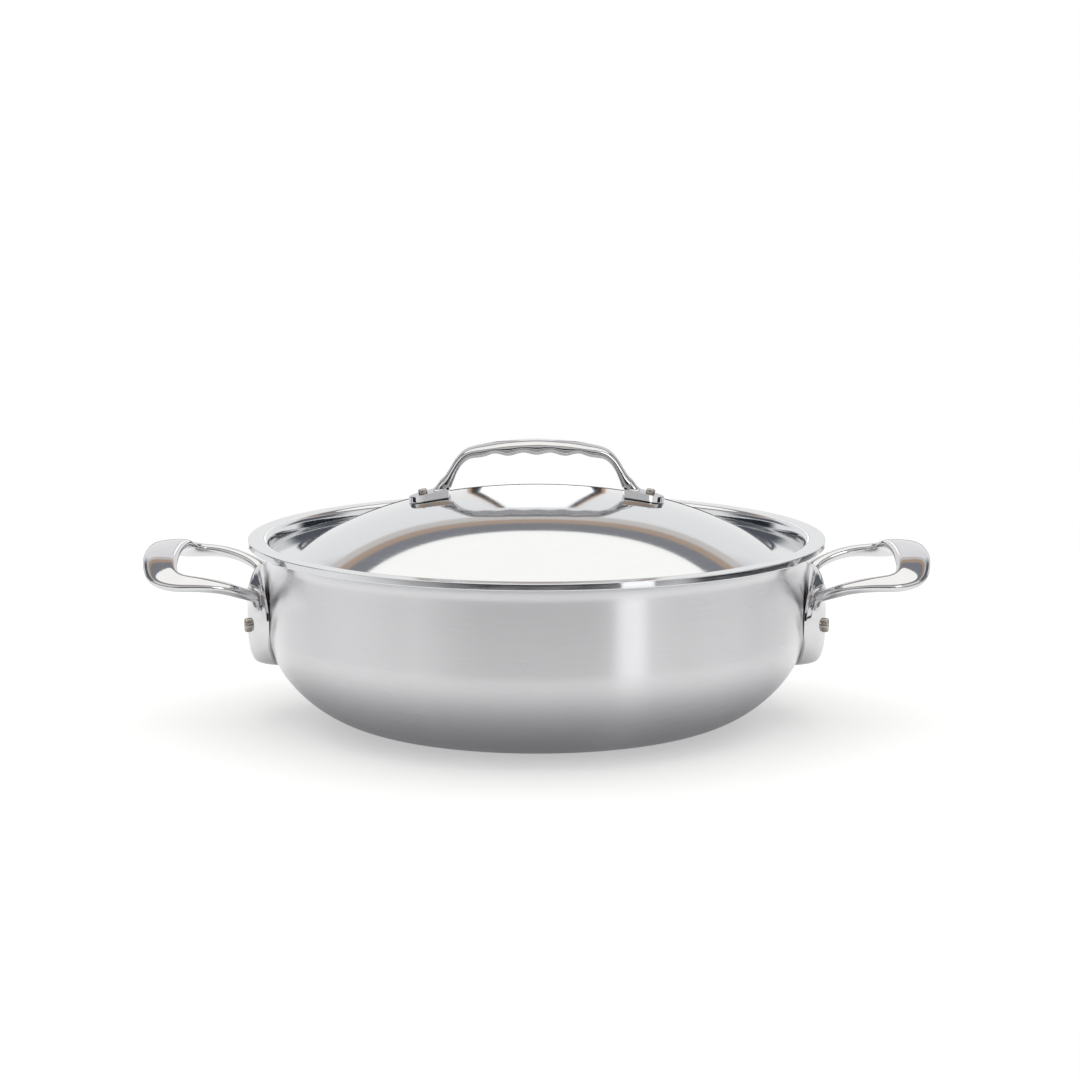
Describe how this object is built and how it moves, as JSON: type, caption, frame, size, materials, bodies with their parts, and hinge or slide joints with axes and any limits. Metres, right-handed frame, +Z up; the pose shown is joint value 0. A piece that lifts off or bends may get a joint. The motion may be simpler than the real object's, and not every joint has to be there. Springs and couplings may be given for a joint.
{
  "type": "braiser with lid",
  "caption": "Low, wide stainless steel braising pan with a flat pouring lip, cast loop side handles riveted to the wall, and a domed lift-off lid with a cast arch handle.",
  "frame": {"origin": "centre of the pan's flat underside", "axes": "+Z up, out of the pan; +X through the right side handle; +Y away from the side the picture shows"},
  "size_m": [0.4074, 0.3, 0.1456],
  "materials": {
    "satin_steel": "stainless steel, satin brushed round the wall",
    "polished_steel": "stainless steel sheet, mirror polished",
    "cast_steel": "cast stainless steel, mirror polished",
    "rivet_steel": "stainless steel rivet, peened and dull"
  },
  "bodies": {
    "pan": {"pan_vessel": "satin_steel", "left_handle": "cast_steel", "right_handle": "cast_steel", "left_handle_rivet_front": "rivet_steel", "left_handle_rivet_back": "rivet_steel", "right_handle_rivet_front": "rivet_steel", "right_handle_rivet_back": "rivet_steel"},
    "lid": {"lid_shell": "polished_steel", "lid_handle": "cast_steel", "lid_rivet_left": "rivet_steel", "lid_rivet_right": "rivet_steel"}
  },
  "joints": [
    {"name": "lid_lift", "type": "slide", "parent": "pan", "child": "lid", "axis": [0, 0, 1], "range_m": [0, 0.12]}
  ]
}
